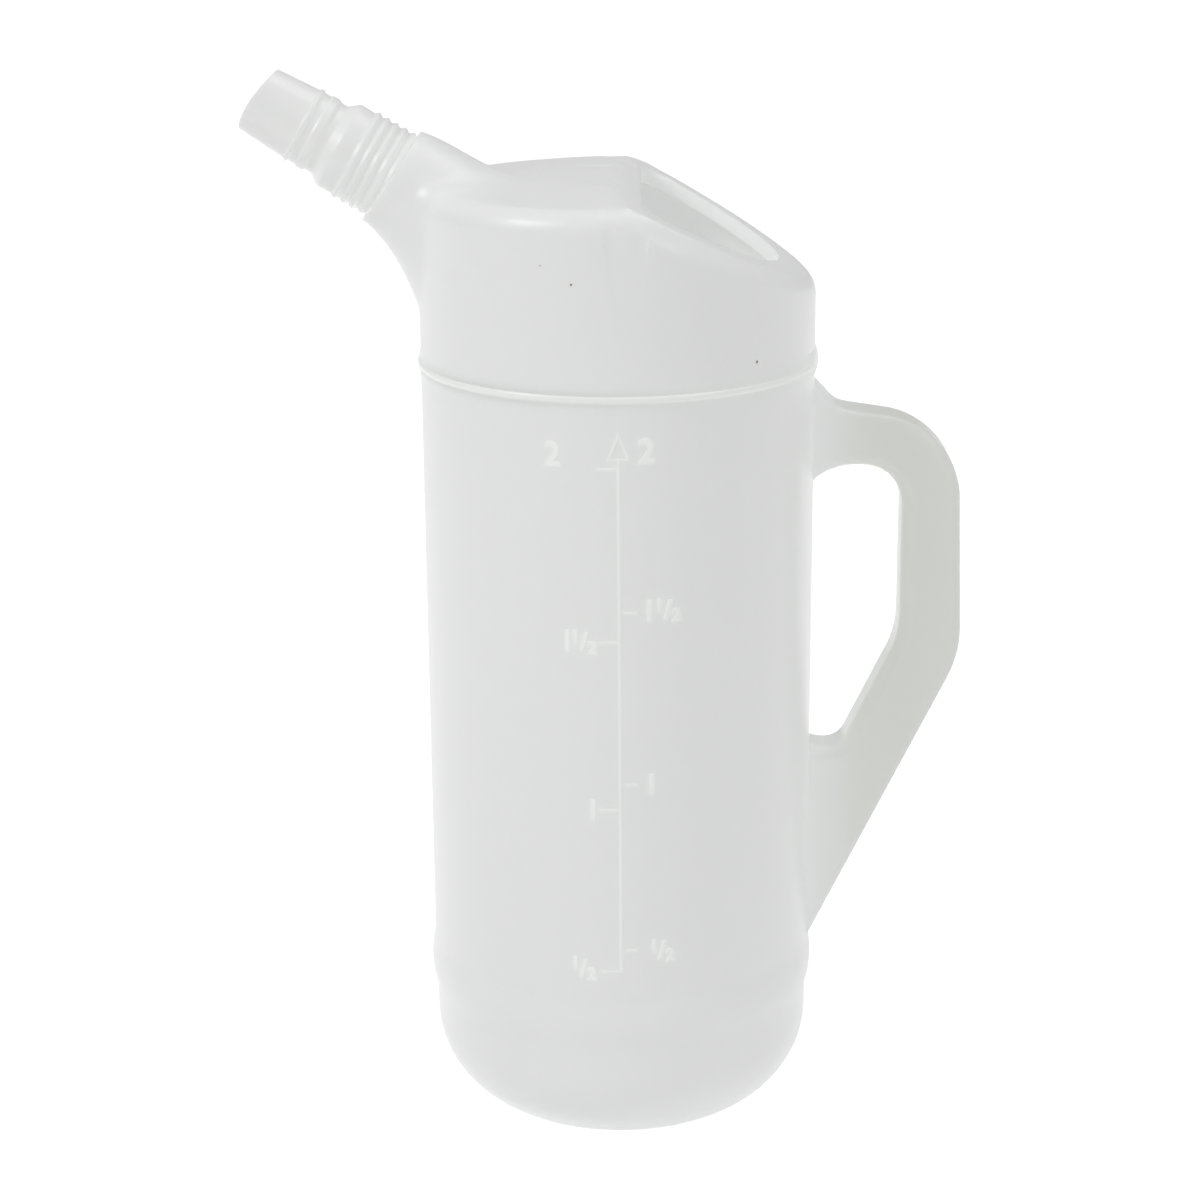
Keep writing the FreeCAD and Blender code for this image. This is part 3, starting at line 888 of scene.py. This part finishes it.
marks = [ticks("quart_ticks", 4, QUART_FIRST, QUART_STEP, -3.4, 5.4),
         ticks("litre_ticks", 3, LITRE_FIRST, LITRE_STEP, 3.0, 3.6)]
print("ticks:", [len(m.data.polygons) for m in marks], "faces")


# %% [markdown]
# ### The upright line and the arrowhead
# The upright line and the hollow arrowhead are thin bands: a ridge with sloping sides catches
# light on both edges, which is how such a line shows on a white jug. So each band has a narrower
# top than foot. A path of points is given that section by mitring it at the corners.

# %% The upright line and the arrowhead
TOP_SHARE = 0.6                 # width of a band's top as a share of its foot's
SHARPEST_MITRE = 0.35           # keeps the arrow's corners from growing into spikes


def band(name, path, width, closed=False):
    """Flat ridge along a path of (x, y), with a narrower top than foot."""
    bm = bmesh.new()
    n = len(path)
    foot, top = width/2, width*TOP_SHARE/2
    section = [(-foot, -MARK_SUNK), (foot, -MARK_SUNK), (top, MARK_PROUD), (-top, MARK_PROUD)]
    rows = []
    for i, p in enumerate(path):
        p = Vector(p)
        before = Vector(path[i - 1]) if closed or i > 0 else p*2 - Vector(path[1])
        after = Vector(path[(i + 1) % n]) if closed or i < n - 1 else p*2 - Vector(path[n - 2])
        a, b = (p - before).normalized(), (after - p).normalized()
        across = Vector((a.y + b.y, -a.x - b.x)).normalized()
        across /= max(SHARPEST_MITRE, across.dot(Vector((a.y, -a.x))))
        rows.append([bm.verts.new((p.x + across.x*s, p.y + across.y*s, h)) for s, h in section])
    pairs = list(zip(rows, rows[1:])) + ([(rows[-1], rows[0])] if closed else [])
    for one, two in pairs:
        for k in range(4):
            bm.faces.new((one[k], one[(k + 1) % 4], two[(k + 1) % 4], two[k]))
    if not closed:
        bm.faces.new(rows[0])
        bm.faces.new(rows[-1])
    bmesh.ops.recalc_face_normals(bm, faces=bm.faces)
    return wrapped(flat_piece(name, bm))


ARROW_HALF, ARROW_TIP, ARROW_W = 2.8, 218.2, 0.7
arrow = [(-ARROW_HALF, LINE_TOP), (ARROW_HALF, LINE_TOP), (0, ARROW_TIP)]
marks.append(band("upright_line", [(0, LINE_FOOT), (0, LINE_TOP)], LINE_W))
marks.append(band("arrowhead", arrow, ARROW_W, closed=True))
print("line from", LINE_FOOT, "to", LINE_TOP, "mm, arrow tip at", ARROW_TIP, "mm")


# %% [markdown]
# ### The numerals
# The numerals come from Blender's own font. A text is made a mesh first, then stood beside its
# tick, and only then wrapped. Its faces are cut into narrow strips before that, because a wide
# flat face would cut through the round wall.

# %% Plain numerals
TEXT_BOLD = 0.2                 # by which each stroke is thickened on both sides
STRIP = 0.8                     # width of the strips that a numeral is cut into


def text_mesh(words, size):
    """Flat mesh of a text, its middle at the origin, raised by the marks' height."""
    curve = bpy.data.curves.new("words", "FONT")
    curve.body = words
    curve.size = size
    curve.align_x = "CENTER"
    curve.align_y = "CENTER"
    curve.extrude = MARK_HEIGHT/2
    curve.resolution_u = 6
    curve.offset = TEXT_BOLD
    holder = bpy.data.objects.new("words", curve)
    bpy.context.scene.collection.objects.link(holder)
    mesh = bpy.data.meshes.new_from_object(holder.evaluated_get(bpy.context.evaluated_depsgraph_get()))
    bpy.data.objects.remove(holder)
    return mesh


def numeral(name, parts):
    """Raised characters; each part is (text, size, x, y), all in mm on the unrolled wall."""
    bm = bmesh.new()
    for words, size, x, y in parts:
        mesh = text_mesh(words, size)
        mesh.transform(Matrix.Translation((x, y, MARK_MIDDLE)))
        bm.from_mesh(mesh)
        bpy.data.meshes.remove(mesh)
    bmesh.ops.remove_doubles(bm, verts=bm.verts, dist=0.001)
    low = min(v.co.x for v in bm.verts)
    high = max(v.co.x for v in bm.verts)
    at = low + STRIP
    while at < high:
        bmesh.ops.bisect_plane(bm, geom=bm.verts[:] + bm.edges[:] + bm.faces[:],
                               plane_co=(at, 0, 0), plane_no=(1, 0, 0))
        at += STRIP
    bmesh.ops.recalc_face_normals(bm, faces=bm.faces)
    return wrapped(flat_piece(name, bm))


ONE, TWO, SMALL, BAR = 8.4, 9.6, 5.2, 7.5      # sizes of the characters


def half(x, y):
    """A half written with a slanted bar."""
    return [("1", SMALL, x - 2.3, y + 1.6), ("/", BAR, x, y), ("2", SMALL, x + 2.5, y - 1.6)]


marks += [numeral("quart_two", [("2", TWO, -18.3, 212.3)]),
          numeral("quart_one_and_half", [("1", ONE, -14.6, 159.5)] + half(-10.0, 159.5)),
          numeral("quart_one", [("1", ONE, -7.8, 110.2)]),
          numeral("quart_half", half(-10.9, 61.7)),
          numeral("litre_two", [("2", TWO, 7.7, 213.4)]),
          numeral("litre_one_and_half", [("1", ONE, 8.3, 168.4)] + half(13.5, 168.4)),
          numeral("litre_one", [("1", ONE, 8.8, 117.6)]),
          numeral("litre_half", half(11.7, 67.1))]
for mark in marks:
    drawn = any(word in mark.name for word in ("tick", "line", "arrow"))
    mark.data.materials.clear()
    mark.data.materials.append(painted_light_mark_finish if drawn else painted_light_numeral_finish)
    smooth(mark, 25)
print("marks:", len(marks), "pieces,", sum(len(m.data.polygons) for m in marks), "faces")

# %% [markdown]
# ## The upper bead's crest
# The upper bead ends in a narrow round crest, which shows as a thin light line round the barrel.
# It is a ring turned from a half-round outline that is sunk a little into the wall. It has the
# scale's paler, glowing finish, so its light line is partly a painted highlight.

# %% Turn the crest
CREST_HALF, CREST_PROUD, CREST_SUNK = 1.1, 0.85, 0.3
crest_outline = [Vector((BARREL - CREST_SUNK, BEAD_Z - CREST_HALF))]
for i in range(9):
    a = math.pi*i/8
    crest_outline.append(Vector((BARREL + CREST_PROUD*math.sin(a), BEAD_Z - CREST_HALF*math.cos(a))))
crest_outline.append(Vector((BARREL - CREST_SUNK, BEAD_Z + CREST_HALF)))
crest = turned("bead_crest", crest_outline, 180)
crest.data.transform(Matrix.Translation((AXIS_X, 0, 0)) @ Matrix.Scale(MM, 4))
# the scale's paler, glowing finish: a painted highlight along the crest
crest.data.materials.append(painted_light_mark_finish)
smooth(crest, 60)
print("crest:", len(crest.data.polygons), "faces at", BEAD_Z, "mm")

# %% [markdown]
# ## Grains
# Unpigmented polyethylene often carries a few burnt grains. Three sit in the wall above the upper
# bead, each a small flat drop whose top just shows.

# %% Three grains in the wall
# Each has its angle from -Y in degrees, and its height and radius in mm.
GRAINS = [(-12.6, 259.2, 0.3), (42.2, 235.2, 0.38), (-21.3, 263.9, 0.18)]
GRAIN_THICK = 0.12
grain_finish = bpy.data.materials.new("burnt_grain")
grain_finish.use_nodes = True
burnt = grain_finish.node_tree.nodes["Principled BSDF"]
burnt.inputs["Base Color"].default_value = (0.36, 0.30, 0.20, 1)
burnt.inputs["Roughness"].default_value = 0.6
grain_bm = bmesh.new()
for angle, height, radius in GRAINS:
    a = math.radians(angle)
    place = Matrix.Translation((AXIS_X + BARREL_R*math.sin(a), -BARREL_R*math.cos(a), height*MM))
    flat = Matrix.Rotation(a, 4, "Z") @ Matrix.Diagonal((radius*MM, GRAIN_THICK*MM, radius*MM, 1))
    bmesh.ops.create_icosphere(grain_bm, subdivisions=2, radius=1.0, matrix=place @ flat)
grains = flat_piece("grains", grain_bm)
grains.data.materials.append(grain_finish)
print("grains:", len(GRAINS))

# %% [markdown]
# ## Floor, backdrop and light
# The floor is plain and nearly white, and so is the world behind it. Rays from the camera, and
# those that pass on through something clear, see the world as pure white; everything else is lit
# by it at a plain level. The floor gives those rays, and mirrored ones, a little extra white as
# well, and keeps the jug's shadow. Three soft lamps give the gentle highlights: the key high on the
# left, a weaker one in front on the right and one from above.

# %% Floor
FLOOR_WHITE = 0.72              # added to the floor where it is seen, and never to its light
bpy.ops.mesh.primitive_plane_add(size=12, location=(0, 0, -0.0002))
floor = bpy.context.active_object
floor.name = "floor"
floor_finish = bpy.data.materials.new("plain_floor")
floor_finish.use_nodes = True
tree = floor_finish.node_tree
tree.nodes["Principled BSDF"].inputs["Base Color"].default_value = (0.9, 0.9, 0.9, 1)
tree.nodes["Principled BSDF"].inputs["Roughness"].default_value = 0.9
glow = tree.nodes.new("ShaderNodeEmission")
glow.inputs["Color"].default_value = (1, 1, 1, 1)
path = tree.nodes.new("ShaderNodeLightPath")
seen = math_node(tree, "ADD", path.outputs["Is Camera Ray"], path.outputs["Is Glossy Ray"])
seen = math_node(tree, "ADD", seen, path.outputs["Is Transmission Ray"], clamp=True)
tree.links.new(math_node(tree, "MULTIPLY", seen, FLOOR_WHITE), glow.inputs["Strength"])
both = tree.nodes.new("ShaderNodeAddShader")
tree.links.new(tree.nodes["Principled BSDF"].outputs[0], both.inputs[0])
tree.links.new(glow.outputs[0], both.inputs[1])
tree.links.new(both.outputs[0], tree.nodes["Material Output"].inputs["Surface"])
floor.data.materials.append(floor_finish)
print("floor's added white", FLOOR_WHITE)


# %% World
WORLD_LEVEL = 0.34
world = bpy.data.worlds.new("studio")
bpy.context.scene.world = world
world.use_nodes = True
tree = world.node_tree
background = tree.nodes["Background"]
background.inputs["Color"].default_value = (1, 1, 1, 1)
path = tree.nodes.new("ShaderNodeLightPath")
seen = math_node(tree, "ADD", path.outputs["Is Camera Ray"], path.outputs["Is Transmission Ray"],
                 clamp=True)
added = math_node(tree, "MULTIPLY", seen, 1 - WORLD_LEVEL)
tree.links.new(math_node(tree, "ADD", added, WORLD_LEVEL), background.inputs["Strength"])
print("world level", WORLD_LEVEL)


# %% Lamps
def lamp(name, place, target, size, power):
    """Round area lamp at place that points at target."""
    data = bpy.data.lights.new(name, "AREA")
    data.shape = "DISK"
    data.size = size
    data.energy = power
    made = bpy.data.objects.new(name, data)
    bpy.context.scene.collection.objects.link(made)
    made.location = place
    made.rotation_euler = (target - Vector(place)).to_track_quat("-Z", "Y").to_euler()


middle = Vector((0, 0, 0.15))
lamp("key_lamp", (-1.15, -0.6, 1.35), middle, 0.6, 7.6)
lamp("fill_lamp", (0.9, -1.1, 0.9), middle, 0.9, 2.6)
lamp("top_lamp", (0.5, 0.2, 1.5), middle, 0.9, 3.0)

# %% [markdown]
# ## Camera
# The camera stands in front of the scale, well above the jug, and looks down at it a little.

# %% Camera
LENS, SENSOR = 85.52, 36.0
YAW, PITCH, ROLL = (math.radians(v) for v in (-0.39, 16.84, 0.45))
eye = Vector((2.83*MM, -804.1*MM, 398.4*MM))
ahead = Vector((math.sin(YAW)*math.cos(PITCH), math.cos(YAW)*math.cos(PITCH), -math.sin(PITCH)))
right = Vector((math.cos(YAW), -math.sin(YAW), 0))
down = ahead.cross(right)
x_axis = right*math.cos(ROLL) + down*math.sin(ROLL)
y_axis = right*math.sin(ROLL) - down*math.cos(ROLL)
camera_data = bpy.data.cameras.new("camera")
camera_data.lens = LENS
camera_data.sensor_width = SENSOR
camera = bpy.data.objects.new("camera", camera_data)
bpy.context.scene.collection.objects.link(camera)
turn = Matrix((x_axis, y_axis, -ahead)).transposed().to_4x4()
turn.translation = eye
camera.matrix_world = turn
bpy.context.scene.camera = camera
bpy.context.scene.view_settings.view_transform = "Standard"
print("camera at", [round(v, 3) for v in eye], "with a lens of", LENS, "mm")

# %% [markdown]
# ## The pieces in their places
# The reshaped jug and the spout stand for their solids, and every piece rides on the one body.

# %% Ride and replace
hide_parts("spout")
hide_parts("jug")
for piece in [jug_body, spout, crest, grains] + marks:
    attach(piece, "root")
